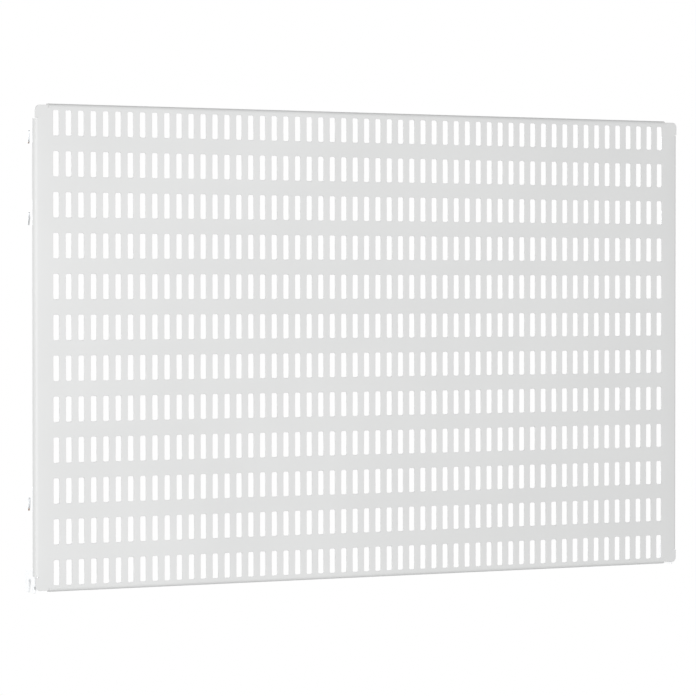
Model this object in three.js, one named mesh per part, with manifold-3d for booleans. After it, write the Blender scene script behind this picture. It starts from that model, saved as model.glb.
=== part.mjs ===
// A slotted metal tool wall panel that hooks into slotted wall uprights.
// Millimetres, +Z up. The panel's front faces -Y and the uprights stand behind it, towards +Y.
// The origin is the middle of the plane where the hook legs bear on the uprights' front.

import * as THREE from 'three';
import { mergeGeometries, mergeVertices } from 'three/addons/utils/BufferGeometryUtils.js';
import Module from 'manifold-3d';

const wasm = await Module();
wasm.setup();

// Slot grid: upright slots that take the tool hooks.
const ROW_PITCH = 32;
const ROWS = 12;
const COLUMN_PITCH = ROW_PITCH / 3;
const COLUMNS = 54;
const SLOT_WIDTH = 5;
const SLOT_HEIGHT = 20;

// Folded sheet.
const PANEL_WIDTH = 602;
const PANEL_HEIGHT = 382;
const SHEET = 1;
const CORNER_RADIUS = 4;
const CORNER_SEGMENTS = 5;
const FLANGE_DEPTH = 5;
const CORNER_RELIEF = 12;
const GAP = 0.3;

// Hook bracket: a blade with two hooks, and a foot that lies behind the face.
const HOOK_REACH = 23;
const HOOK_HEIGHT = 19;
const HOOK_SPACING = 2 * ROW_PITCH;
const BRACKET_SPACING = 9 * ROW_PITCH;
const HOOK_TOP_OFFSET = 12;
const PLATE = 2;
const NECK_HEIGHT = 8.5;
const THROAT_WIDTH = 6;
const LEG_DEPTH = 4.5;
const HOOK_ROUND = 3;
const THROAT_ROUND = 1;
const TIP_ROUND = 2;
const TIP_LEAD_IN = 1.5;
const TIP_LEAD_IN_HEIGHT = 5;
const BLADE_END_SETBACK = 5.5;
const FOOT_WIDTH = 12.8;
const FOOT_ROUND = 2;

// Weld studs and nuts that hold the brackets.
const STUD_RADIUS = 2;
const STUD_LENGTH = 8;
const STUD_CHAMFER = 0.5;
const STUD_INSET = 7.8;
const STUD_OFFSET = ROW_PITCH / 2;
const STUD_HOLE_RADIUS = 2.4;
const NUT_ACROSS_FLATS = 7;
const NUT_HEIGHT = 3.2;
const ROUND_SEGMENTS = 16;

// Depths along Y, measured from the uprights' front plane.
const FRONT_Y = -(FLANGE_DEPTH + LEG_DEPTH);
const SHEET_BACK_Y = FRONT_Y + SHEET;
const FLANGE_BACK_Y = FRONT_Y + FLANGE_DEPTH;
const BEHIND_SHEET_Y = SHEET_BACK_Y + GAP;
const FOOT_BACK_Y = BEHIND_SHEET_Y + PLATE;
const HOOK_BACK_Y = FRONT_Y + HOOK_REACH;

// The blade lies against the inner side of the folded flange.
const BLADE_OUTER_X = PANEL_WIDTH / 2 - SHEET - GAP;
const BLADE_INNER_X = BLADE_OUTER_X - PLATE;
const STUD_X = PANEL_WIDTH / 2 - STUD_INSET;
const BRACKET_HALF = (HOOK_SPACING + HOOK_HEIGHT) / 2;
const BLADE_HALF = BRACKET_HALF - BLADE_END_SETBACK;
const UPPER_BRACKET_Z = PANEL_HEIGHT / 2 - HOOK_TOP_OFFSET - BRACKET_HALF;
const LOWER_BRACKET_Z = UPPER_BRACKET_Z - BRACKET_SPACING;

const WHITE_COAT = { color: 0xf2f2f0, roughness: 0.55, metalness: 0 };
const BRIGHT_ZINC = { color: 0xe6e8e8, roughness: 0.35, metalness: 0.8 };
const NUT_ZINC = { color: 0xc9cdd0, roughness: 0.3, metalness: 1 };
const STUD_STEEL = { color: 0xc98f6b, roughness: 0.35, metalness: 1 };

const group = new THREE.Group();

function addMesh(name, geometry, finish) {
  const mesh = new THREE.Mesh(geometry, new THREE.MeshStandardMaterial(finish));
  mesh.name = name;
  group.add(mesh);
  return mesh;
}

// An outline in X and Z becomes a plate between two depths.
function plateFacingFront(shape, frontY, backY) {
  const options = { depth: backY - frontY, bevelEnabled: false, curveSegments: CORNER_SEGMENTS };
  const geometry = new THREE.ExtrudeGeometry(shape, options);
  geometry.rotateX(Math.PI / 2);
  geometry.translate(0, backY, 0);
  return geometry;
}

// An outline in Y and Z becomes a plate between two places along X.
function plateFacingSide(shape, lowX, highX) {
  const options = { depth: highX - lowX, bevelEnabled: false, curveSegments: CORNER_SEGMENTS };
  const geometry = new THREE.ExtrudeGeometry(shape, options);
  const turn = new THREE.Matrix4();
  turn.makeBasis(new THREE.Vector3(0, 1, 0), new THREE.Vector3(0, 0, 1), new THREE.Vector3(1, 0, 0));
  geometry.applyMatrix4(turn);
  geometry.translate(lowX, 0, 0);
  return geometry;
}

function boxBetween(low, high) {
  const geometry = new THREE.BoxGeometry(high[0] - low[0], high[1] - low[1], high[2] - low[2]);
  geometry.translate((low[0] + high[0]) / 2, (low[1] + high[1]) / 2, (low[2] + high[2]) / 2);
  return geometry;
}

// A rectangle whose lower and upper corners have their own radii.
function roundedRectangle(lowX, lowZ, highX, highZ, lowerRadius, upperRadius) {
  const quarter = Math.PI / 2;
  const shape = new THREE.Shape();
  shape.moveTo(lowX + lowerRadius, lowZ);
  shape.lineTo(highX - lowerRadius, lowZ);
  if (lowerRadius > 0) {
    shape.absarc(highX - lowerRadius, lowZ + lowerRadius, lowerRadius, -quarter, 0, false);
  }
  shape.lineTo(highX, highZ - upperRadius);
  if (upperRadius > 0) {
    shape.absarc(highX - upperRadius, highZ - upperRadius, upperRadius, 0, quarter, false);
  }
  shape.lineTo(lowX + upperRadius, highZ);
  if (upperRadius > 0) {
    shape.absarc(lowX + upperRadius, highZ - upperRadius, upperRadius, quarter, 2 * quarter, false);
  }
  if (lowerRadius > 0) {
    shape.lineTo(lowX, lowZ + lowerRadius);
    shape.absarc(lowX + lowerRadius, lowZ + lowerRadius, lowerRadius, 2 * quarter, 3 * quarter, false);
  }
  return shape;
}

// A slot's cutter runs a little past both faces of the sheet.
function slotCutter(centreX, centreZ) {
  const low = [centreX - SLOT_WIDTH / 2, FRONT_Y - SHEET, centreZ - SLOT_HEIGHT / 2];
  const high = [centreX + SLOT_WIDTH / 2, SHEET_BACK_Y + SHEET, centreZ + SLOT_HEIGHT / 2];
  return boxBetween(low, high);
}

function roundHole(centreX, centreZ, radius) {
  const hole = new THREE.Path();
  hole.absarc(centreX, centreZ, radius, 0, 2 * Math.PI, true);
  return hole;
}

function solidOf(geometry) {
  const bare = geometry.clone();
  bare.deleteAttribute('normal');
  bare.deleteAttribute('uv');
  const merged = mergeVertices(bare, 1e-4);
  const vertProperties = new Float32Array(merged.attributes.position.array);
  const triVerts = new Uint32Array(merged.index.array);
  return new wasm.Manifold(new wasm.Mesh({ numProp: 3, vertProperties, triVerts }));
}

function geometryOf(solid) {
  const mesh = solid.getMesh();
  const geometry = new THREE.BufferGeometry();
  geometry.setAttribute('position', new THREE.BufferAttribute(new Float32Array(mesh.vertProperties), 3));
  geometry.setIndex(new THREE.BufferAttribute(new Uint32Array(mesh.triVerts), 1));
  return geometry;
}

// One slotted band of the face, a third of the sheet's height, cut between two rows of slots.
function faceBand(name, firstRow, lastRow) {
  const isTop = firstRow === 0;
  const isBottom = lastRow === ROWS - 1;
  const highZ = isTop ? PANEL_HEIGHT / 2 : (ROWS / 2 - firstRow) * ROW_PITCH - GAP / 2;
  const lowZ = isBottom ? -PANEL_HEIGHT / 2 : (ROWS / 2 - lastRow - 1) * ROW_PITCH + GAP / 2;
  const lowerRadius = isBottom ? CORNER_RADIUS : 0;
  const upperRadius = isTop ? CORNER_RADIUS : 0;
  const halfWidth = PANEL_WIDTH / 2;
  const shape = roundedRectangle(-halfWidth, lowZ, halfWidth, highZ, lowerRadius, upperRadius);
  const cutters = [];
  for (let row = firstRow; row <= lastRow; row += 1) {
    for (let column = 0; column < COLUMNS; column += 1) {
      const x = (column - (COLUMNS - 1) / 2) * COLUMN_PITCH;
      const z = ((ROWS - 1) / 2 - row) * ROW_PITCH;
      cutters.push(slotCutter(x, z));
    }
  }
  const plate = solidOf(plateFacingFront(shape, FRONT_Y, SHEET_BACK_Y));
  const slotted = plate.subtract(solidOf(mergeGeometries(cutters)));
  return addMesh(name, geometryOf(slotted), WHITE_COAT);
}

// The four folded edges stop short of the corners, where the sheet is cut away for folding.
function foldedFlanges() {
  const halfWidth = PANEL_WIDTH / 2;
  const halfHeight = PANEL_HEIGHT / 2;
  const reachX = halfWidth - CORNER_RELIEF;
  const reachZ = halfHeight - CORNER_RELIEF;
  const front = BEHIND_SHEET_Y;
  const back = FLANGE_BACK_Y;
  addMesh('flange_top',
    boxBetween([-reachX, front, halfHeight - SHEET], [reachX, back, halfHeight]), WHITE_COAT);
  addMesh('flange_bottom',
    boxBetween([-reachX, front, -halfHeight], [reachX, back, SHEET - halfHeight]), WHITE_COAT);
  addMesh('flange_left',
    boxBetween([-halfWidth, front, -reachZ], [SHEET - halfWidth, back, reachZ]), WHITE_COAT);
  addMesh('flange_right',
    boxBetween([halfWidth - SHEET, front, -reachZ], [halfWidth, back, reachZ]), WHITE_COAT);
}

// One hook in Y and Z: a leg that bears on the upright, a neck, and a tine that drops behind it.
function hookShape(topZ) {
  const quarter = Math.PI / 2;
  const bottomZ = topZ - HOOK_HEIGHT;
  const throatTopZ = topZ - NECK_HEIGHT;
  const rootY = FLANGE_BACK_Y - 1;
  const shape = new THREE.Shape();
  shape.moveTo(rootY, bottomZ);
  shape.lineTo(0, bottomZ);
  shape.lineTo(0, throatTopZ - THROAT_ROUND);
  shape.absarc(THROAT_ROUND, throatTopZ - THROAT_ROUND, THROAT_ROUND, 2 * quarter, quarter, true);
  shape.lineTo(THROAT_WIDTH - THROAT_ROUND, throatTopZ);
  shape.absarc(THROAT_WIDTH - THROAT_ROUND, throatTopZ - THROAT_ROUND, THROAT_ROUND, quarter, 0, true);
  shape.lineTo(THROAT_WIDTH, bottomZ + TIP_LEAD_IN_HEIGHT);
  shape.lineTo(THROAT_WIDTH + TIP_LEAD_IN, bottomZ);
  shape.lineTo(HOOK_BACK_Y - TIP_ROUND, bottomZ);
  shape.absarc(HOOK_BACK_Y - TIP_ROUND, bottomZ + TIP_ROUND, TIP_ROUND, -quarter, 0, false);
  shape.lineTo(HOOK_BACK_Y, topZ - HOOK_ROUND);
  shape.absarc(HOOK_BACK_Y - HOOK_ROUND, topZ - HOOK_ROUND, HOOK_ROUND, 0, quarter, false);
  shape.lineTo(rootY, topZ);
  shape.closePath();
  return shape;
}

// One bracket is a single folded plate: a blade with two hooks, and a foot drilled for two studs.
function hookBracket(name, side, centreZ) {
  const bladeX = [side * BLADE_INNER_X, side * BLADE_OUTER_X].sort((a, b) => a - b);
  const footX = [side * BLADE_OUTER_X, side * (BLADE_OUTER_X - FOOT_WIDTH)].sort((a, b) => a - b);
  const low = centreZ - BLADE_HALF;
  const high = centreZ + BLADE_HALF;
  const blade = boxBetween([bladeX[0], BEHIND_SHEET_Y, low], [bladeX[1], FLANGE_BACK_Y, high]);
  const footShape = roundedRectangle(footX[0], low, footX[1], high, FOOT_ROUND, FOOT_ROUND);
  for (const offset of [-STUD_OFFSET, STUD_OFFSET]) {
    footShape.holes.push(roundHole(side * STUD_X, centreZ + offset, STUD_HOLE_RADIUS));
  }
  let solid = solidOf(blade).add(solidOf(plateFacingFront(footShape, BEHIND_SHEET_Y, FOOT_BACK_Y)));
  for (const topZ of [centreZ + BRACKET_HALF, centreZ + BRACKET_HALF - HOOK_SPACING]) {
    solid = solid.add(solidOf(plateFacingSide(hookShape(topZ), bladeX[0], bladeX[1])));
  }
  return addMesh(name, geometryOf(solid), BRIGHT_ZINC);
}

// A weld stud stands out of the back of the face and ends in a small chamfer.
function weldStud(name, side, z) {
  const tip = STUD_RADIUS - STUD_CHAMFER;
  const profile = [
    new THREE.Vector2(0, 0),
    new THREE.Vector2(STUD_RADIUS, 0),
    new THREE.Vector2(STUD_RADIUS, STUD_LENGTH - STUD_CHAMFER),
    new THREE.Vector2(tip, STUD_LENGTH),
    new THREE.Vector2(0, STUD_LENGTH),
  ];
  const mesh = addMesh(name, new THREE.LatheGeometry(profile, ROUND_SEGMENTS), STUD_STEEL);
  mesh.position.set(side * STUD_X, BEHIND_SHEET_Y, z);
}

function hexNut(name, side, z) {
  const corner = NUT_ACROSS_FLATS / Math.sqrt(3);
  const shape = new THREE.Shape();
  for (let turn = 0; turn < 6; turn += 1) {
    const angle = (turn + 0.5) * Math.PI / 3;
    const point = [corner * Math.cos(angle), corner * Math.sin(angle)];
    if (turn === 0) {
      shape.moveTo(...point);
    } else {
      shape.lineTo(...point);
    }
  }
  shape.closePath();
  shape.holes.push(roundHole(0, 0, STUD_HOLE_RADIUS));
  const geometry = plateFacingFront(shape, FOOT_BACK_Y + GAP, FOOT_BACK_Y + GAP + NUT_HEIGHT);
  const mesh = addMesh(name, geometry, NUT_ZINC);
  mesh.position.set(side * STUD_X, 0, z);
}

faceBand('face_rows_1_4', 0, 3);
faceBand('face_rows_5_8', 4, 7);
faceBand('face_rows_9_12', 8, 11);
foldedFlanges();

for (const [sideName, side] of [['left', -1], ['right', 1]]) {
  for (const [levelName, centreZ] of [['top', UPPER_BRACKET_Z], ['bottom', LOWER_BRACKET_Z]]) {
    const place = `${levelName}_${sideName}`;
    hookBracket(`hook_bracket_${place}`, side, centreZ);
    for (const [endName, offset] of [['upper', STUD_OFFSET], ['lower', -STUD_OFFSET]]) {
      weldStud(`weld_stud_${place}_${endName}`, side, centreZ + offset);
      hexNut(`nut_${place}_${endName}`, side, centreZ + offset);
    }
  }
}

export default group;
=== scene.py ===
# %% [markdown]
# # A slotted tool wall panel
#
# The real object is one sheet of steel, punched with a grid of upright slots, folded back along
# its four edges and sprayed with white powder paint. Four plated brackets behind its side edges
# carry the hooks that drop into slotted wall uprights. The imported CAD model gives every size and
# place, and this lesson makes the surfaces that a camera sees: the folds, the rolled paint at the
# punched edges, the bent plates of the brackets, and the threads of the studs and nuts.

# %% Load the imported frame
from math import atan, cos, degrees, pi, radians

import bpy
import numpy as np
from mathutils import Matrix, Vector


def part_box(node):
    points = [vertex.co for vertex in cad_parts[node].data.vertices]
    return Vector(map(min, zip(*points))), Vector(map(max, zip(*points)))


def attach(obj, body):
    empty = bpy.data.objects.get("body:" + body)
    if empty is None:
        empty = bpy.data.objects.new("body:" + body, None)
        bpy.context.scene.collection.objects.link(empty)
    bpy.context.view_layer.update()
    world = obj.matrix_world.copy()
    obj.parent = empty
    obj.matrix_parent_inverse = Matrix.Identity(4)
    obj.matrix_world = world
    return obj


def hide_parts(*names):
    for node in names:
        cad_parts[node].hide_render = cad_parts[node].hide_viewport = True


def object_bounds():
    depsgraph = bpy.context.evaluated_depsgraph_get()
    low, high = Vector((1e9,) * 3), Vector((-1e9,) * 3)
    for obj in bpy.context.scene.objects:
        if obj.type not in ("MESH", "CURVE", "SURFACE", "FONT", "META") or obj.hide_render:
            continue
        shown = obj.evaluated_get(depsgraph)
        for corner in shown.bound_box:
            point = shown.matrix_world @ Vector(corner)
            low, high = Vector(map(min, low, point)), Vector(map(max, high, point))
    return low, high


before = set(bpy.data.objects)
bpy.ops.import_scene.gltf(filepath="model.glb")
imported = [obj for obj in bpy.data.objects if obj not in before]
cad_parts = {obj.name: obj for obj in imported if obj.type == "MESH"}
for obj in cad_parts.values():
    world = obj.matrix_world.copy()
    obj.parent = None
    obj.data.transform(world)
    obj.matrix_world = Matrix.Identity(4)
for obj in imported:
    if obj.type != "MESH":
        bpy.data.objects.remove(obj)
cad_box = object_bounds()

MM = 0.001
print("nodes:", len(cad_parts))

# %% [markdown]
# ## Sizes come from the frame
#
# Every place is measured from the CAD nodes, so nothing here has to be fitted by eye. The face is
# three nodes in the CAD, one above another, and four thin bars behind it are its folded edges.
# The working unit below is the millimetre, and a mesh is turned to metres as it is written.

# %% Measure the sheet and its folded edges
FACE_NODES = ["face_rows_1_4", "face_rows_5_8", "face_rows_9_12"]
FLANGE_NODES = ["flange_top", "flange_bottom", "flange_left", "flange_right"]


def box_mm(node):
    """A CAD node's lowest and highest corners, in millimetres."""
    low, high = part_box(node)
    return np.array(low) / MM, np.array(high) / MM


face_low = np.min([box_mm(node)[0] for node in FACE_NODES], axis=0)
face_high = np.max([box_mm(node)[1] for node in FACE_NODES], axis=0)
half_width = face_high[0]
half_height = face_high[2]
front_y = face_low[1]
sheet_thickness = face_high[1] - face_low[1]
flange_back_y = box_mm("flange_left")[1][1]
flange_end_z = box_mm("flange_left")[1][2]
flange_end_x = box_mm("flange_top")[1][0]
print(f"sheet {2 * half_width:.1f} x {2 * half_height:.1f} x {sheet_thickness:.1f} mm")
print(f"folded edges reach {flange_back_y - front_y:.1f} mm back")

# %% The slot grid
ROWS = 12
COLUMNS = 54
ROW_PITCH = 32.0
COLUMN_PITCH = ROW_PITCH / 3
SLOT_WIDTH = 5.0
SLOT_HEIGHT = 20.0
SLOT_ROUND = 1.2
BEND_RADIUS = 3.2
CORNER_RADIUS = 4.0
CORNER_SIDE_SET_IN = 0.6
CORNER_TOP_SET_IN = 1.2
BEND_RELIEF = 0.4
print(ROWS * COLUMNS, "slots")

# %% [markdown]
# ## Sheet metal is drawn flat, then folded
#
# A sheet-metal worker cuts a flat blank and folds it. The same order works well here: all the
# outlines are laid out in two flat coordinates, u across and w up, and one folding formula then
# rolls whatever lies past a bend line round an arc. Because a fold never stretches the sheet, the
# rows of faces stay even. The other way, to model a tray and cut it with booleans, leaves long
# thin triangles that shade badly.
#
# A `Blank` collects flat patches of faces. Points that fall on each other are welded when the
# mesh is written, so patches only have to agree about the points on the edge that they share.

# %% A blank made of patches
POINT_DIGITS = 4


def merge_equal(points):
    """The points with equal ones made one, and the new place of each old point."""
    keys = np.round(points * 10 ** POINT_DIGITS).astype(np.int64)
    _, first, place = np.unique(keys, axis=0, return_index=True, return_inverse=True)
    return points[first], place.reshape(-1)


class Blank:
    """Flat patches of faces in u and w, in millimetres."""

    def __init__(self):
        self.points = []
        self.faces = []
        self.count = 0

    def quads(self, grid):
        """A patch from a grid of points, rows by columns by 2. Each grid square is one face."""
        rows, columns = grid.shape[:2]
        index = self.count + np.arange(rows * columns).reshape(rows, columns)
        corners = [index[:-1, :-1], index[:-1, 1:], index[1:, 1:], index[1:, :-1]]
        self.faces += np.stack(corners, -1).reshape(-1, 4).tolist()
        self.points.append(grid.reshape(-1, 2))
        self.count += rows * columns

    def polygon(self, corners):
        """One flat face with any number of corners."""
        corners = np.asarray(corners, float)
        self.faces.append(list(range(self.count, self.count + len(corners))))
        self.points.append(corners)
        self.count += len(corners)

    def welded(self):
        """All the points, with equal ones made one, and the faces that use them."""
        points, place = merge_equal(np.concatenate(self.points))
        return points, [[int(place[corner]) for corner in face] for face in self.faces]


# %% [markdown]
# ## A slot in its cell
#
# Each slot sits in a cell of the sheet. The patch between them is a surface of two parameters: s
# runs once round, and t runs from the slot's outline (0) to the cell's border (1). The outline is
# a rectangle with small rounded corners, as a punch leaves it, and every corner has four points.
# Three of them move out to the cell's upright side and one to its level side, mirrored at each
# corner, so that neighbouring cells always meet point to point. The shape repeats hundreds of
# times, so it has only sixteen faces.

# %% Slot outline and cell border
SLOT_CORNER_ANGLES = np.radians([0, 30, 60, 90])
MIRRORS = [(1, 1, 1), (-1, 1, -1), (-1, -1, 1), (1, -1, -1)]


def slot_outline():
    """Sixteen points round the slot: each corner's circle, centre plus radius times (cos, sin)."""
    centre = np.array([SLOT_WIDTH / 2 - SLOT_ROUND, SLOT_HEIGHT / 2 - SLOT_ROUND])
    circle = np.stack([np.cos(SLOT_CORNER_ANGLES), np.sin(SLOT_CORNER_ANGLES)], -1)
    arc = centre + SLOT_ROUND * circle
    return np.concatenate([arc[::order] * (x, z) for x, z, order in MIRRORS])


def border_heights(far_side):
    """A corner's three upright points above the centre: beside the arc, halfway, and at far_side."""
    straight = SLOT_HEIGHT / 2 - SLOT_ROUND
    return [straight, (straight + far_side) / 2, far_side]


def cell_border(side, upper, lower):
    """Sixteen points round the cell. upper and lower are each three heights above or below centre."""
    inner = SLOT_WIDTH / 2 - SLOT_ROUND
    border = []
    for x, z, order in MIRRORS:
        heights = upper if z > 0 else lower
        corner = [(side, heights[0]), (side, heights[1]), (side, heights[2]), (inner, heights[2])]
        border.append(np.array(corner)[::order] * (x, z))
    return np.concatenate(border)


# %% [markdown]
# ## The outer rows meet the bend lines
#
# The top and bottom rows end where the edge begins to roll. On those rows the first point of the
# upright border lies at the height where the folded side edge stops, so that the corner of the
# sheet can start from it.

# %% Lay out the slotted field
bend_u = half_width - BEND_RADIUS
bend_w = half_height - BEND_RADIUS
field_u = COLUMNS * COLUMN_PITCH / 2
columns_u = (np.arange(COLUMNS) - (COLUMNS - 1) / 2) * COLUMN_PITCH
rows_w = ((ROWS - 1) / 2 - np.arange(ROWS)) * ROW_PITCH

inner_heights = border_heights(ROW_PITCH / 2)
outer_centre = rows_w[0]
outer_heights = [flange_end_z - outer_centre, inner_heights[0], bend_w - outer_centre]

panel = Blank()
outline = slot_outline()
for row, centre_w in enumerate(rows_w):
    upper = outer_heights if row == 0 else inner_heights
    lower = outer_heights if row == ROWS - 1 else inner_heights
    ring = np.stack([outline, cell_border(COLUMN_PITCH / 2, upper, lower)])
    ring = np.concatenate([ring, ring[:, :1]], axis=1)
    for centre_u in columns_u:
        panel.quads(ring[::-1] + (centre_u, centre_w))
print(len(panel.faces), "faces round the slots")

# %% [markdown]
# ## Margins, corners and folded edges
#
# Beside the slotted field lie a plain margin and then the strip that folds. The strip's lines run
# close together on the bend and far apart on the flat. The corners of the sheet stay flat: they
# reach almost as far out as the folded edges do, and a narrow slit, the bend relief, parts them
# from the strips so that the metal can fold without tearing. A corner is one flat face with an arc
# on its outer side and the two slits cut into it.

# %% Lay out the margins and the strips that fold
BEND_STEPS = 5
SHEET_CORNER_STEPS = 6
ROUNDING_SLACK = 0.001


def upright_lines():
    """Every height at which the field's side border has a point, from the bottom up."""
    upper = rows_w[:, None] + np.array(inner_heights)
    lower = rows_w[:, None] - np.array(inner_heights)
    inside = np.concatenate([upper[1:].ravel(), lower[:-1].ravel()])
    outer = outer_centre + np.array(outer_heights)
    straight = SLOT_HEIGHT / 2 - SLOT_ROUND
    first = outer_centre - straight
    lines = np.concatenate([inside, outer, -outer, [first, -first]])
    return np.unique(np.round(lines, POINT_DIGITS))


def level_lines():
    """Every place across at which the field's top border has a point, from the left."""
    inner = SLOT_WIDTH / 2 - SLOT_ROUND
    offsets = np.array([-COLUMN_PITCH / 2, -inner, inner, COLUMN_PITCH / 2])
    lines = np.append(columns_u[:, None] + offsets, [-flange_end_x, flange_end_x])
    return np.unique(np.round(lines, POINT_DIGITS))


def strip_lines(bend_start):
    """Lines across a folded strip: even steps round the bend, then the flat to its end."""
    round_bend = np.linspace(0, BEND_RADIUS * pi / 2, BEND_STEPS + 1)
    flat = flange_back_y - front_y - BEND_RADIUS
    return bend_start + np.append(round_bend, round_bend[-1] + flat)


side_w = upright_lines()
side_w = side_w[np.abs(side_w) <= flange_end_z + ROUNDING_SLACK]
side_u = np.append(field_u, strip_lines(bend_u))
side_grid = np.stack(np.meshgrid(side_u, side_w), -1)
panel.quads(side_grid)
panel.quads((side_grid * (-1, 1))[:, ::-1])

top_grid = np.stack(np.meshgrid(level_lines(), strip_lines(bend_w)), -1)
panel.quads(top_grid)
panel.quads((top_grid * (1, -1))[::-1])

turn = np.linspace(0, pi / 2, SHEET_CORNER_STEPS + 1)
edge_u = half_width - CORNER_SIDE_SET_IN
edge_w = half_height - CORNER_TOP_SET_IN
arc_centre = np.array([edge_u - CORNER_RADIUS, edge_w - CORNER_RADIUS])
arc = arc_centre + CORNER_RADIUS * np.stack([np.cos(turn), np.sin(turn)], -1)
slit_w = flange_end_z + BEND_RELIEF
slit_u = flange_end_x + BEND_RELIEF
side_slit = [(bend_u, flange_end_z), (bend_u, slit_w), (edge_u, slit_w)]
top_slit = [(slit_u, edge_w), (slit_u, bend_w), (flange_end_x, bend_w)]
field_side = [(field_u, bend_w), (field_u, outer_centre + inner_heights[0]), (field_u, flange_end_z)]
corner = np.concatenate([side_slit, arc, top_slit, field_side])
for mirror in [(1, 1), (-1, -1)]:
    panel.polygon(corner * mirror)
for mirror in [(-1, 1), (1, -1)]:
    panel.polygon((corner * mirror)[::-1])

# %% [markdown]
# ## The folding formula
#
# Past a bend line at distance b, a point that is d further out has gone round the arc by the angle
# d / R. It lies at b + R sin(angle), and R (1 - cos(angle)) back. Once the quarter turn is done,
# what is left of d goes straight back. The same formula folds the sides, the top and the bottom,
# and later the brackets. The corners lie past the slits, so they are left out of it.


# %% Fold
def folded(distance, bend_start, radius):
    """How far out and how far back a point lies after a quarter fold that starts at bend_start."""
    past = np.clip(distance - bend_start, 0, None)
    angle = np.clip(past / radius, 0, pi / 2)
    straight = past - radius * angle
    out = np.minimum(distance, bend_start) + radius * np.sin(angle)
    back = radius * (1 - np.cos(angle)) + straight
    return out, back


def fold_panel(points):
    """The blank's u and w become x, y and z, with all four edges folded back and the corners flat."""
    across, up = np.abs(points).T
    out_x, back_x = folded(across, bend_u, BEND_RADIUS)
    out_z, back_z = folded(up, bend_w, BEND_RADIUS)
    on_side = up < flange_end_z + BEND_RELIEF / 2
    on_top = across < flange_end_x + BEND_RELIEF / 2
    x = np.where(on_side, out_x, across)
    z = np.where(on_top, out_z, up)
    y = front_y + back_x * on_side + back_z * on_top
    return np.stack([np.sign(points[:, 0]) * x, y, np.sign(points[:, 1]) * z], -1)


# %% [markdown]
# ## From a surface to a piece of plate
#
# Solidify gives the folded surface its thickness inwards, and keeps it even round the bends. A
# narrow Bevel then breaks every sharp edge, because paint never leaves a punched edge sharp, and
# it is that thin rounded line that catches the light. Its normals are hardened, so that the flat
# faces stay flat.


# %% Make a piece from points and faces
SHARP_FROM = radians(40)


def new_piece(name, points_mm, faces):
    """A mesh object at the origin, smooth shaded, with its points given in millimetres."""
    mesh = bpy.data.meshes.new(name)
    mesh.from_pydata((np.asarray(points_mm) * MM).tolist(), [], faces)
    mesh.validate()
    mesh.shade_smooth()
    piece = bpy.data.objects.new(name, mesh)
    bpy.context.scene.collection.objects.link(piece)
    return piece


def give_thickness(piece, thickness_mm):
    solid = piece.modifiers.new("plate thickness", "SOLIDIFY")
    solid.thickness = thickness_mm * MM
    solid.offset = -1
    solid.use_even_offset = True
    solid.use_quality_normals = True


def break_edges(piece, width_mm, segments=1):
    bevel = piece.modifiers.new("broken edges", "BEVEL")
    bevel.width = width_mm * MM
    bevel.segments = segments
    bevel.limit_method = "ANGLE"
    bevel.angle_limit = SHARP_FROM
    bevel.harden_normals = True


def triangle_count(piece):
    """Triangles in the finished mesh, modifiers included."""
    evaluated = piece.evaluated_get(bpy.context.evaluated_depsgraph_get())
    mesh = evaluated.to_mesh()
    corners = np.zeros(len(mesh.polygons), int)
    mesh.polygons.foreach_get("loop_total", corners)
    evaluated.to_mesh_clear()
    return int((corners - 2).sum())


# %% The folded, slotted sheet
EDGE_ROLL = 0.2

flat_points, flat_faces = panel.welded()
slotted_panel = new_piece("slotted_panel", fold_panel(flat_points), flat_faces)
give_thickness(slotted_panel, sheet_thickness)
break_edges(slotted_panel, EDGE_ROLL)
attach(slotted_panel, "root")
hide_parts(*FACE_NODES, *FLANGE_NODES)
print("slotted_panel:", triangle_count(slotted_panel), "triangles")

# %% [markdown]
# ## The hook brackets
#
# A bracket is a 2 mm plate with one bend. Its foot lies on the back of the sheet and is drilled
# for two studs. Its blade lies inside the folded side edge and carries two hooks. Each hook is a
# band between two outlines: the outer one goes up the leg, over the top and down the tine, and the
# inner one is the throat that the upright's wall slides into. Point k of one outline faces point k
# of the other, so the band is again a grid of two parameters.

# %% Measure a bracket
PLATE = 2.0
PLATE_BEND = 3.0
NECK_HEIGHT = 8.5
THROAT_WIDTH = 6.0
THROAT_ROUND = 1.0
HOOK_ROUND = 3.0
TIP_ROUND = 2.0
TIP_LEAD_IN = 1.5
TIP_LEAD_IN_HEIGHT = 5.0
HOOK_HEIGHT = 19.0
BLADE_END_SETBACK = 5.5
FOOT_ROUND = 2.0
FOOT_EDGE_STRIP = 2.0
FOOT_CELL_HALF = 4.0
PAINT_GAP = 0.05

bracket_low, bracket_high = box_mm("hook_bracket_top_right")
stud_low, stud_high = box_mm("weld_stud_top_right_upper")
bracket_centre_z = (bracket_low[2] + bracket_high[2]) / 2
bracket_half = (bracket_high[2] - bracket_low[2]) / 2
stud_x = (stud_low[0] + stud_high[0]) / 2
stud_offset = (stud_low[2] + stud_high[2]) / 2 - bracket_centre_z
hook_back_y = bracket_high[1]
foot_y = front_y + sheet_thickness + PAINT_GAP
blade_x = half_width - sheet_thickness - PAINT_GAP
foot_flat = blade_x - PLATE_BEND - bracket_low[0]
blade_u = foot_flat + PLATE_BEND * pi / 2
hook_root_u = blade_u + flange_back_y - foot_y - PLATE_BEND
blade_half = bracket_half - BLADE_END_SETBACK
print(f"hooks reach {hook_back_y - front_y:.1f} mm behind the front face")


# %% One hook as a band between two outlines
THROAT_STEPS = 4
TIP_STEPS = 4


def arc_points(centre, radius, start, end, steps):
    """Points round part of a circle, from start to end in degrees."""
    angle = np.radians(np.linspace(start, end, steps + 1))
    return np.array(centre) + radius * np.stack([np.cos(angle), np.sin(angle)], -1)


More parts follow.
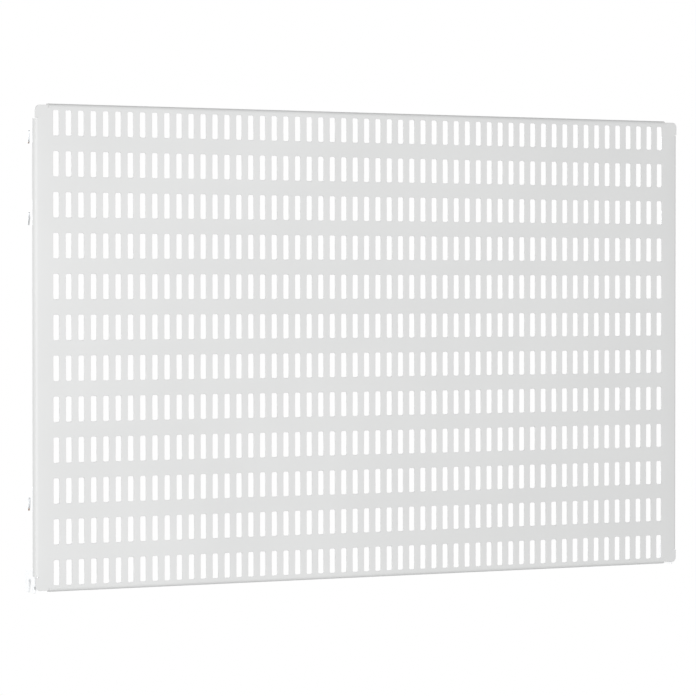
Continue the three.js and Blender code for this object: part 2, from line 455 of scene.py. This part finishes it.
def hook_outlines(leg_heights):
    """The outer and inner outlines of a hook, in depth and height from its leg's lower front corner.

    leg_heights are the heights at which the leg joins the blade. Both outlines have one point for
    each of them, then go round the throat's two corners, THROAT_STEPS steps each, and down the tine.
    """
    reach = hook_back_y - flange_back_y
    leg = -flange_back_y
    top = HOOK_HEIGHT
    throat_top = top - NECK_HEIGHT
    inner_far = leg + THROAT_WIDTH
    straight = throat_top - THROAT_ROUND
    near_corner = arc_points((leg + THROAT_ROUND, straight), THROAT_ROUND, 180, 90, THROAT_STEPS)
    far_corner = arc_points((inner_far - THROAT_ROUND, straight), THROAT_ROUND, 90, 0, THROAT_STEPS)
    count = len(leg_heights)
    inner_leg = np.stack([np.full(count, leg), np.linspace(0, straight, count)], -1)
    lead_in = [(inner_far, TIP_LEAD_IN_HEIGHT), (inner_far + TIP_LEAD_IN, 0)]
    inner = np.concatenate([inner_leg, near_corner[1:], far_corner, lead_in])

    outer_leg = np.stack([np.zeros(count), leg_heights], -1)
    across = np.linspace(0, leg + THROAT_ROUND, THROAT_STEPS + 1)[1:]
    over_near = np.stack([across, np.full(THROAT_STEPS, top)], -1)
    over_far = [(inner_far - THROAT_ROUND, top)]
    rear_centre = (reach - HOOK_ROUND, top - HOOK_ROUND)
    rear_corner = arc_points(rear_centre, HOOK_ROUND, 90, 0, THROAT_STEPS - 1)
    down = [(reach, TIP_LEAD_IN_HEIGHT + TIP_ROUND), (reach, TIP_ROUND)]
    outer = np.concatenate([outer_leg, over_near, over_far, rear_corner, down])
    return outer, inner


def add_hook(blank, low_w, leg_heights):
    """Adds a hook whose lowest point is at low_w, and closes its tip with a rounded face."""
    outer, inner = hook_outlines(leg_heights)
    place = np.array([hook_root_u, low_w])
    blank.quads(np.stack([inner, outer]) + place)
    reach = outer[-1][0]
    tip = arc_points((reach - TIP_ROUND, TIP_ROUND), TIP_ROUND, 0, -90, TIP_STEPS)
    blank.polygon(np.concatenate([[inner[-1]], tip[::-1]]) + place)


# %% Places on the bracket's blank
STUD_HOLE_RADIUS = 2.4
HOLE_STEPS = 6
FOOT_STEPS = 4

hole_u = foot_flat - (blade_x - PLATE_BEND - stud_x)
cell_low = stud_offset - FOOT_CELL_HALF
cell_high = stud_offset + FOOT_CELL_HALF
hook_foot = bracket_half - HOOK_HEIGHT
leg_lines = np.array([hook_foot, blade_half - FOOT_ROUND, blade_half])
half_lines = np.array([cell_low, cell_high, *leg_lines])
bracket_w = np.concatenate([-half_lines[::-1], half_lines])
print(f"stud holes {2 * stud_offset:.1f} mm apart")


# %% The foot's faces
def add_drilled_cell(blank, side):
    """Four faces round a stud hole. Each has a quarter of the circle and two corners of the cell."""
    middle = side * stud_offset
    low = middle - FOOT_CELL_HALF
    high = middle + FOOT_CELL_HALF
    box = [(foot_flat, high), (FOOT_EDGE_STRIP, high), (FOOT_EDGE_STRIP, low), (foot_flat, low)]
    for k, angle in enumerate([45, 135, 225, 315]):
        arc = arc_points((hole_u, middle), STUD_HOLE_RADIUS, angle + 90, angle, HOLE_STEPS)
        blank.polygon([box[k], box[(k + 1) % 4], *arc])


def add_foot_end(blank, side):
    """The end of the foot past a stud's cell, with its free corner rounded."""
    rounded = arc_points((FOOT_ROUND, blade_half - FOOT_ROUND), FOOT_ROUND, 90, 180, FOOT_STEPS)
    face = [(FOOT_EDGE_STRIP, cell_high), (foot_flat, cell_high)]
    face += [(foot_flat, line) for line in leg_lines]
    face += [*rounded, (0, cell_high)]
    blank.polygon((np.array(face) * (1, side))[::side])


def add_edge_strip(blank, side):
    """The narrow strip between a stud's cell and the foot's free edge."""
    low, high = sorted([side * cell_low, side * cell_high])
    blank.polygon([(0, low), (FOOT_EDGE_STRIP, low), (FOOT_EDGE_STRIP, high), (0, high)])


# %% The bracket's blank
def bracket_blank():
    """The flat plate of one bracket, with u from the foot's free edge to the tips of the hooks."""
    blank = Blank()
    bend = foot_flat + np.linspace(0, PLATE_BEND * pi / 2, BEND_STEPS + 1)
    blade = np.append(bend, hook_root_u)
    blank.quads(np.stack(np.meshgrid(blade, bracket_w), -1))
    for side in (1, -1):
        add_drilled_cell(blank, side)
        add_foot_end(blank, side)
        add_edge_strip(blank, side)
    middle_u = [0, FOOT_EDGE_STRIP, foot_flat]
    lower_side = [(u, -cell_low) for u in middle_u]
    upper_side = [(u, cell_low) for u in middle_u[::-1]]
    blank.polygon(lower_side + upper_side)
    upper_legs = np.append(leg_lines - hook_foot, HOOK_HEIGHT)
    lower_legs = np.append(-bracket_half, -leg_lines[::-1]) + bracket_half
    add_hook(blank, hook_foot, upper_legs)
    add_hook(blank, -bracket_half, lower_legs)
    return blank


def fold_bracket(points, side, centre_z):
    """The flat plate folded once. side is 1 on the right and -1 on the left."""
    u, w = points.T
    out, back = folded(u, foot_flat, PLATE_BEND)
    x = blade_x - PLATE_BEND - foot_flat + out
    return np.stack([side * x, foot_y + back, w + centre_z], -1)


# %% Make the four brackets
PLATE_EDGE = 0.25


def make_bracket(name, side, centre_z):
    points, faces = bracket_blank().welded()
    if side < 0:
        faces = [face[::-1] for face in faces]
    piece = new_piece(name, fold_bracket(points, side, centre_z), faces)
    give_thickness(piece, PLATE)
    break_edges(piece, PLATE_EDGE, segments=2)
    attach(piece, "root")
    return piece


brackets = []
for place in ["top_left", "bottom_left", "top_right", "bottom_right"]:
    node = f"hook_bracket_{place}"
    low, high = box_mm(node)
    bracket = make_bracket(f"zinc_{node}", np.sign(low[0]), (low[2] + high[2]) / 2)
    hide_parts(node)
    brackets.append(bracket)
print("one bracket:", triangle_count(brackets[0]), "triangles")

# %% [markdown]
# ## Studs and nuts
#
# The brackets are held by studs that are welded to the back of the sheet, so that nothing shows on
# the front. A thread is a surface of two parameters: the angle round the stud and the height along
# it. Its radius rises and falls once for each turn, with the crest moving up by one pitch a turn,
# which is a helix. Tip and base are closed by drawing the last rings in to the axis. The nut's
# thread is the same helix half a turn behind, so each crest of one lies in a groove of the other.

# %% Threaded surfaces
THREAD_PITCH = 0.7
THREAD_DEPTH = 0.38
THREAD_ROOT_SHARE = 0.2
THREAD_FLANK_SHARE = 0.6
STUD_TIP_INSET = 0.1
STUD_STEPS = 24
STEPS_A_PITCH = 8
THREAD_CLEARANCE = 0.15
WELD_GAP = 0.02

stud_base_y = front_y + sheet_thickness + WELD_GAP


def thread_wave(turns):
    """A trapezium wave from 0 at the root to 1 at the crest, once for every whole turn.

    The shares say how much of each half turn is flat root and how much is sloping flank.
    """
    saw = np.abs((turns % 1.0) * 2 - 1)
    return np.clip((saw - THREAD_ROOT_SHARE) / THREAD_FLANK_SHARE, 0, 1)


def lathe_faces(rows, columns, closed_rows):
    """Quads of a tube of rows by columns, which closes round its columns, and its rows if asked."""
    index = np.arange(rows * columns).reshape(rows, columns)
    around = np.roll(index, -1, axis=1)
    if closed_rows:
        up, up_around = np.roll(index, -1, axis=0), np.roll(around, -1, axis=0)
        stack = [index, around, up_around, up]
    else:
        stack = [index[:-1], around[:-1], around[1:], index[1:]]
    return np.stack(stack, -1).reshape(-1, 4).tolist()


def stud_points(radius, length):
    """Rings of points along a threaded stud, from its base on the sheet to its chamfered tip."""
    rings = int(length / THREAD_PITCH * STEPS_A_PITCH)
    along = np.linspace(0, length, rings + 1)
    angle = np.arange(STUD_STEPS) * 2 * pi / STUD_STEPS
    wave = thread_wave(along[:, None] / THREAD_PITCH - angle / (2 * pi))
    thread = radius - THREAD_DEPTH * (1 - wave)
    tip = radius - THREAD_DEPTH - STUD_TIP_INSET + (length - along[:, None])
    body = np.minimum(thread, tip)
    axis = np.zeros((1, STUD_STEPS))
    radii = np.concatenate([axis, body, axis])
    depth = np.concatenate([[0], along, [length]])[:, None] + axis
    return np.stack([radii * np.cos(angle), depth, -radii * np.sin(angle)], -1)


def weld_points(points, faces):
    """Equal points made one, and faces that lose a corner kept as triangles."""
    points, place = merge_equal(points)
    kept = [list(dict.fromkeys(int(place[corner]) for corner in face)) for face in faces]
    return points, [face for face in kept if len(face) > 2]


def make_stud(name, node):
    low, high = box_mm(node)
    radius = (high[0] - low[0]) / 2
    rings = stud_points(radius, high[1] - stud_base_y)
    place = np.array([(low[0] + high[0]) / 2, stud_base_y, (low[2] + high[2]) / 2])
    faces = lathe_faces(*rings.shape[:2], closed_rows=False)
    points, faces = weld_points(rings.reshape(-1, 3) + place, faces)
    piece = new_piece(name, points, faces)
    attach(piece, "root")
    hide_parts(node)
    return piece


# %% [markdown]
# A nut is a hexagon whose corners are turned off by a cone at both ends. Its radius at an angle is
# the smaller of two things: the hexagon, which is half the width across flats divided by the cosine
# of the angle from the nearest flat, and the cone, which grows with the height above the end. The
# profile goes down the outside and back up through the threaded bore, and closes on itself.

# %% Nuts
NUT_STEPS = 72
NUT_FLATS = 6
NUT_BEARING = 0.94
NUT_CHAMFER = 0.55
NUT_END_STEPS = np.array([0, 0.1, 0.25, 0.45, 0.7, 1])
COUNTERSINK_DEPTH = 0.35
COUNTERSINK_SLOPE = 2


def nut_points(across_flats, height, bore, seat_above_base):
    """Rings round a nut: up the outside, over the end, and back down the threaded bore.

    The bore's helix is the stud's own, half a turn behind, so its crests lie in the stud's grooves.
    """
    angle = np.arange(NUT_STEPS) * 2 * pi / NUT_STEPS
    from_flat = (angle + pi / NUT_FLATS) % (2 * pi / NUT_FLATS) - pi / NUT_FLATS
    hexagon = across_flats / 2 / np.cos(from_flat)
    bearing = across_flats / 2 * NUT_BEARING
    corner = across_flats / 2 / cos(pi / NUT_FLATS)
    ends = NUT_END_STEPS * NUT_CHAMFER
    heights = np.concatenate([ends, height - ends[::-1]])
    to_end = np.minimum(heights, height - heights)
    cone = bearing + to_end * (corner - bearing) / NUT_CHAMFER
    outside = np.minimum(hexagon, cone[:, None])
    bore_heights = np.linspace(height, 0, int(height / THREAD_PITCH * STEPS_A_PITCH) + 1)
    turns = (seat_above_base + bore_heights[:, None]) / THREAD_PITCH - angle / (2 * pi)
    wave = thread_wave(turns + 0.5)
    to_face = np.minimum(bore_heights, height - bore_heights)
    countersink = COUNTERSINK_SLOPE * np.clip(COUNTERSINK_DEPTH - to_face, 0, None)
    inside = np.maximum(bore - THREAD_DEPTH * wave, bore - THREAD_DEPTH + countersink[:, None])
    radii = np.concatenate([outside, inside])
    depth = np.concatenate([heights, bore_heights])[:, None] + np.zeros((1, NUT_STEPS))
    return np.stack([radii * np.cos(angle), depth, -radii * np.sin(angle)], -1)


def make_nut(name, node):
    low, high = box_mm(node)
    height = high[1] - low[1]
    seat_y = foot_y + PLATE + PAINT_GAP / 2
    bore = (stud_high[0] - stud_low[0]) / 2 + THREAD_CLEARANCE
    rings = nut_points(high[0] - low[0], height, bore, seat_y - stud_base_y)
    place = np.array([(low[0] + high[0]) / 2, seat_y, (low[2] + high[2]) / 2])
    faces = lathe_faces(*rings.shape[:2], closed_rows=True)
    piece = new_piece(name, rings.reshape(-1, 3) + place, faces)
    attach(piece, "root")
    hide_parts(node)
    return piece


studs = []
nuts = []
for node in sorted(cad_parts):
    if node.startswith("weld_stud_"):
        studs.append(make_stud(f"threaded_{node}", node))
    if node.startswith("nut_"):
        nuts.append(make_nut(f"hex_{node}", node))
print(len(studs), "studs and", len(nuts), "nuts")

# %% [markdown]
# ## Finishes
#
# Three effects are shared, so each is a node group that is built once and placed with its own
# values: the orange-peel grain of sprayed powder, the faint clouds that any finish has when it is
# seen large, and the fine crystals of zinc plate. A group gives out only numbers that vary over
# the surface. The shader itself, and every value that is the same all over, stays in the material.


# %% Node helpers
def new_group(name, inputs, outputs):
    """A shader node group with named number and vector sockets."""
    group = bpy.data.node_groups.new(name, "ShaderNodeTree")
    for socket, kind in inputs:
        group.interface.new_socket(name=socket, in_out="INPUT", socket_type=kind)
    for socket, kind in outputs:
        group.interface.new_socket(name=socket, in_out="OUTPUT", socket_type=kind)
    return group, group.nodes.new("NodeGroupInput"), group.nodes.new("NodeGroupOutput")


def noise(nodes, detail, roughness):
    node = nodes.new("ShaderNodeTexNoise")
    node.inputs["Detail"].default_value = detail
    node.inputs["Roughness"].default_value = roughness
    return node


def spread(nodes, low, high, to_low, to_high):
    """A Map Range that stretches one span of numbers over another."""
    node = nodes.new("ShaderNodeMapRange")
    node.inputs["From Min"].default_value = low
    node.inputs["From Max"].default_value = high
    node.inputs["To Min"].default_value = to_low
    node.inputs["To Max"].default_value = to_high
    return node


# %% [markdown]
# Powder paint is sprayed dry and then melted, and it never flows quite flat: it keeps low, rounded
# lumps about a millimetre across. Smooth noise has that shape. A second, finer noise adds the
# slight roughness between the lumps.

# %% Orange-peel group
FINE_TO_LUMPS = 4.3


def build_orange_peel():
    """Rounded lumps with a share of finer noise, given out as a height."""
    group, given, result = new_group(
        "orange_peel",
        [
            ("Vector", "NodeSocketVector"),
            ("Lumps per metre", "NodeSocketFloat"),
            ("Fine share", "NodeSocketFloat"),
        ],
        [("Height", "NodeSocketFloat")],
    )
    nodes, links = group.nodes, group.links
    lumps = noise(nodes, detail=1.0, roughness=0.4)
    fine = noise(nodes, detail=2.0, roughness=0.6)
    finer = nodes.new("ShaderNodeMath")
    finer.operation = "MULTIPLY"
    finer.inputs[1].default_value = FINE_TO_LUMPS
    mix = nodes.new("ShaderNodeMix")
    links.new(given.outputs["Vector"], lumps.inputs["Vector"])
    links.new(given.outputs["Vector"], fine.inputs["Vector"])
    links.new(given.outputs["Lumps per metre"], lumps.inputs["Scale"])
    links.new(given.outputs["Lumps per metre"], finer.inputs[0])
    links.new(finer.outputs[0], fine.inputs["Scale"])
    links.new(given.outputs["Fine share"], mix.inputs["Factor"])
    links.new(lumps.outputs["Fac"], mix.inputs["A"])
    links.new(fine.outputs["Fac"], mix.inputs["B"])
    links.new(mix.outputs["Result"], result.inputs["Height"])
    return group


# %% Clouds group
def build_clouds():
    """Slow, soft variation from 0 to 1, for paint that is a shade thicker here and there."""
    group, given, result = new_group(
        "finish_clouds",
        [("Vector", "NodeSocketVector"), ("Clouds per metre", "NodeSocketFloat")],
        [("Cloud", "NodeSocketFloat")],
    )
    nodes, links = group.nodes, group.links
    cloud = noise(nodes, detail=3.0, roughness=0.55)
    stretch = spread(nodes, low=0.3, high=0.7, to_low=0.0, to_high=1.0)
    links.new(given.outputs["Vector"], cloud.inputs["Vector"])
    links.new(given.outputs["Clouds per metre"], cloud.inputs["Scale"])
    links.new(cloud.outputs["Fac"], stretch.inputs["Value"])
    links.new(stretch.outputs["Result"], result.inputs["Cloud"])
    return group


# %% Plated crystals group
ROLLED_ALONG_Y = (1.0, 0.06, 1.0)


def build_crystals():
    """Small flat patches, each of its own brightness, and the fine rolling lines of cold-rolled plate."""
    group, given, result = new_group(
        "plated_crystals",
        [("Vector", "NodeSocketVector"), ("Crystals per metre", "NodeSocketFloat")],
        [("Crystal", "NodeSocketFloat"), ("Grain", "NodeSocketFloat")],
    )
    nodes, links = group.nodes, group.links
    cells = nodes.new("ShaderNodeTexVoronoi")
    apart = nodes.new("ShaderNodeSeparateColor")
    lines = noise(nodes, detail=3.0, roughness=0.7)
    squeeze = nodes.new("ShaderNodeMapping")
    squeeze.inputs["Scale"].default_value = ROLLED_ALONG_Y
    links.new(given.outputs["Vector"], cells.inputs["Vector"])
    links.new(given.outputs["Crystals per metre"], cells.inputs["Scale"])
    links.new(cells.outputs["Color"], apart.inputs["Color"])
    links.new(given.outputs["Vector"], squeeze.inputs["Vector"])
    links.new(squeeze.outputs["Vector"], lines.inputs["Vector"])
    links.new(given.outputs["Crystals per metre"], lines.inputs["Scale"])
    links.new(apart.outputs["Red"], result.inputs["Crystal"])
    links.new(lines.outputs["Fac"], result.inputs["Grain"])
    return group


orange_peel = build_orange_peel()
finish_clouds = build_clouds()
plated_crystals = build_crystals()
print("shared groups:", [group.name for group in bpy.data.node_groups])


# %% Material helpers
def new_material(name, base_color, roughness, metallic):
    """A material with a Principled BSDF and Object coordinates."""
    material = bpy.data.materials.new(name)
    material.use_nodes = True
    nodes = material.node_tree.nodes
    shader = nodes["Principled BSDF"]
    shader.inputs["Base Color"].default_value = (*base_color, 1)
    shader.inputs["Roughness"].default_value = roughness
    shader.inputs["Metallic"].default_value = metallic
    coordinates = nodes.new("ShaderNodeTexCoord")
    return material, nodes, material.node_tree.links, shader, coordinates.outputs["Object"]


def place_group(nodes, links, group, vector, **values):
    """A group node that reads the coordinates and has its own values, with _ written for a space."""
    node = nodes.new("ShaderNodeGroup")
    node.node_tree = group
    links.new(vector, node.inputs["Vector"])
    for key, value in values.items():
        node.inputs[key.replace("_", " ")].default_value = value
    return node


def shade_between(nodes, links, factor, dark, light):
    """The base colour moves between two close shades as factor goes from 0 to 1."""
    mix = nodes.new("ShaderNodeMix")
    mix.data_type = "RGBA"
    mix.inputs["A"].default_value = (*dark, 1)
    mix.inputs["B"].default_value = (*light, 1)
    links.new(factor, mix.inputs["Factor"])
    return mix.outputs["Result"]


def bump_from(nodes, links, height, shader, strength, distance_mm):
    bump = nodes.new("ShaderNodeBump")
    bump.inputs["Strength"].default_value = strength
    bump.inputs["Distance"].default_value = distance_mm * MM
    links.new(height, bump.inputs["Height"])
    links.new(bump.outputs["Normal"], shader.inputs["Normal"])


def roughness_between(nodes, links, factor, shader, low, high):
    stretch = spread(nodes, low=0.0, high=1.0, to_low=low, to_high=high)
    links.new(factor, stretch.inputs["Value"])
    links.new(stretch.outputs["Result"], shader.inputs["Roughness"])


# %% [markdown]
# The paint is a plain white with a low sheen. Its two shades are so close that they only stop the
# sheet from looking printed.

# %% White powder coat
PAINT_DARK = (0.765, 0.77, 0.768)
PAINT_LIGHT = (0.795, 0.8, 0.798)
PAINT_MIDDLE = (0.78, 0.785, 0.783)


def white_powder_coat():
    material, nodes, links, shader, place = new_material("white_powder_coat", PAINT_MIDDLE, 0.5, 0)
    clouds = place_group(nodes, links, finish_clouds, place, Clouds_per_metre=9.0)
    colour = shade_between(nodes, links, clouds.outputs["Cloud"], PAINT_DARK, PAINT_LIGHT)
    links.new(colour, shader.inputs["Base Color"])
    roughness_between(nodes, links, clouds.outputs["Cloud"], shader, low=0.46, high=0.56)
    peel = place_group(nodes, links, orange_peel, place, Lumps_per_metre=700.0, Fine_share=0.25)
    bump_from(nodes, links, peel.outputs["Height"], shader, strength=0.35, distance_mm=0.05)
    return material


# %% Plated metal
def plated(name, dark, light, low_rough, high_rough, crystals):
    """A plated metal: crystals set its shade, clouds its roughness, and rolling lines its bump."""
    material, nodes, links, shader, place = new_material(name, light, low_rough, 1)
    crystal = place_group(nodes, links, plated_crystals, place, Crystals_per_metre=crystals)
    colour = shade_between(nodes, links, crystal.outputs["Crystal"], dark, light)
    links.new(colour, shader.inputs["Base Color"])
    clouds = place_group(nodes, links, finish_clouds, place, Clouds_per_metre=60.0)
    roughness_between(nodes, links, clouds.outputs["Cloud"], shader, low_rough, high_rough)
    bump_from(nodes, links, crystal.outputs["Grain"], shader, strength=0.2, distance_mm=0.03)
    return material


def dress(pieces, material):
    for piece in pieces:
        piece.data.materials.clear()
        piece.data.materials.append(material)


# %% Bright zinc, nut zinc and copper flash, and every piece dressed
dress([slotted_panel], white_powder_coat())
bright_zinc = plated(
    "bright_zinc",
    dark=(0.79, 0.8, 0.81),
    light=(0.86, 0.87, 0.88),
    low_rough=0.24,
    high_rough=0.36,
    crystals=800.0,
)
dress(brackets, bright_zinc)
nut_zinc = plated(
    "nut_zinc",
    dark=(0.64, 0.66, 0.67),
    light=(0.76, 0.78, 0.79),
    low_rough=0.28,
    high_rough=0.4,
    crystals=1500.0,
)
dress(nuts, nut_zinc)
copper_flash = plated(
    "stud_copper_flash",
    dark=(0.66, 0.4, 0.27),
    light=(0.78, 0.5, 0.34),
    low_rough=0.3,
    high_rough=0.45,
    crystals=1500.0,
)
dress(studs, copper_flash)
print("materials:", [material.name for material in bpy.data.materials])

# %% [markdown]
# ## Studio
#
# The panel hangs in a white studio. The world is white at the height of the eye and grows dim
# further up and down, which is what shades the rolled top and bottom edges. A strong soft box
# stands in front and to the left, so the sheet darkens slightly towards the right, and a weak, wide
# one in front fills the rest. A third lights the back. Two more, behind the panel, show only in
# shiny metal, and brighten the plated hooks without lighting the paint. No box shows to the camera.

# %% World
HORIZON_BAND = 0.13
FULLY_DIM = 0.6


def make_world(level, zenith):
    """White up to HORIZON_BAND above and below the horizon, dimming to zenith at FULLY_DIM."""
    world = bpy.data.worlds.new("studio")
    bpy.context.scene.world = world
    world.use_nodes = True
    nodes, links = world.node_tree.nodes, world.node_tree.links
    place = nodes.new("ShaderNodeTexCoord")
    apart = nodes.new("ShaderNodeSeparateXYZ")
    size = nodes.new("ShaderNodeMath")
    size.operation = "ABSOLUTE"
    fall = spread(nodes, HORIZON_BAND, FULLY_DIM, level, zenith)
    background = nodes["Background"]
    links.new(place.outputs["Generated"], apart.inputs["Vector"])
    links.new(apart.outputs["Z"], size.inputs[0])
    links.new(size.outputs[0], fall.inputs["Value"])
    links.new(fall.outputs["Result"], background.inputs["Strength"])
    background.inputs["Color"].default_value = (1, 1, 1, 1)


make_world(level=1.0, zenith=0.3)
bpy.context.scene.view_settings.view_transform = "Standard"


# %% Soft boxes
def soft_box(name, place, size, power, gloss_only=False):
    """A square soft box at place, turned to face the panel. It lights, but doesn't show itself.

    With gloss_only it shows in shiny metal and throws no light on paint.
    """
    data = bpy.data.lights.new(name, "AREA")
    data.size = size
    data.energy = power
    light = bpy.data.objects.new(name, data)
    light.location = place
    light.rotation_euler = (-Vector(place)).to_track_quat("-Z", "Y").to_euler()
    light.visible_camera = False
    light.visible_diffuse = not gloss_only
    bpy.context.scene.collection.objects.link(light)


soft_box("key_soft_box", (-1.6, -2.05, 0.1), size=1.2, power=26.8)
soft_box("front_soft_box", (0.9, -3.2, 0.2), size=2.0, power=3.4)
soft_box("back_soft_box", (-0.6, 3.0, 0.9), size=2.0, power=20.0)
soft_box("left_sheen_box", (-1.85, 2.8, 0.2), size=2.2, power=3.2, gloss_only=True)
soft_box("right_sheen_box", (1.3, 3.0, 0.2), size=2.2, power=12.0, gloss_only=True)

# %% [markdown]
# The floor is a plain pale disc, well below the panel. It glows a little, as a lit studio floor does,
# but throws no light back on the panel, so the rolled bottom edge is shaded like the top one.

# %% Floor
FLOOR_DROP = 0.75
FLOOR_RADIUS = 4.8
FLOOR_SIDES = 96
FLOOR_COLOUR = (0.86, 0.86, 0.86)
FLOOR_GLOW = 0.5

floor_turn = np.arange(FLOOR_SIDES) * 2 * pi / FLOOR_SIDES
floor_z = np.full(FLOOR_SIDES, cad_box[0].z - FLOOR_DROP)
floor_rim = np.stack([FLOOR_RADIUS * np.cos(floor_turn), FLOOR_RADIUS * np.sin(floor_turn), floor_z], -1)
floor_mesh = bpy.data.meshes.new("floor")
floor_mesh.from_pydata(floor_rim.tolist(), [], [list(range(FLOOR_SIDES))])
floor = bpy.data.objects.new("floor", floor_mesh)
bpy.context.scene.collection.objects.link(floor)
floor_finish, _, _, floor_shader, _ = new_material("pale_floor", FLOOR_COLOUR, 0.8, 0)
floor_shader.inputs["Emission Color"].default_value = (1, 1, 1, 1)
floor_shader.inputs["Emission Strength"].default_value = FLOOR_GLOW
dress([floor], floor_finish)
floor.visible_diffuse = False

# %% [markdown]
# ## Camera
#
# The camera stands in front and well to the left, a little above the middle, with a long lens, so
# the near side of the panel looks only slightly taller than the far side.

# %% Camera
CAMERA_PLACE = (-1.3407, -2.4284, 0.0439)
CAMERA_TURN = 28.58
CAMERA_TILT = -0.957
LENS = 173.97
SENSOR_WIDTH = 36

camera_data = bpy.data.cameras.new("camera")
camera_data.sensor_width = SENSOR_WIDTH
camera_data.lens = LENS
camera = bpy.data.objects.new("camera", camera_data)
camera.location = CAMERA_PLACE
camera.rotation_euler = (radians(90 + CAMERA_TILT), 0, -radians(CAMERA_TURN))
bpy.context.scene.collection.objects.link(camera)
bpy.context.scene.camera = camera
print("field of view:", round(degrees(2 * atan(SENSOR_WIDTH / 2 / LENS)), 2), "degrees")
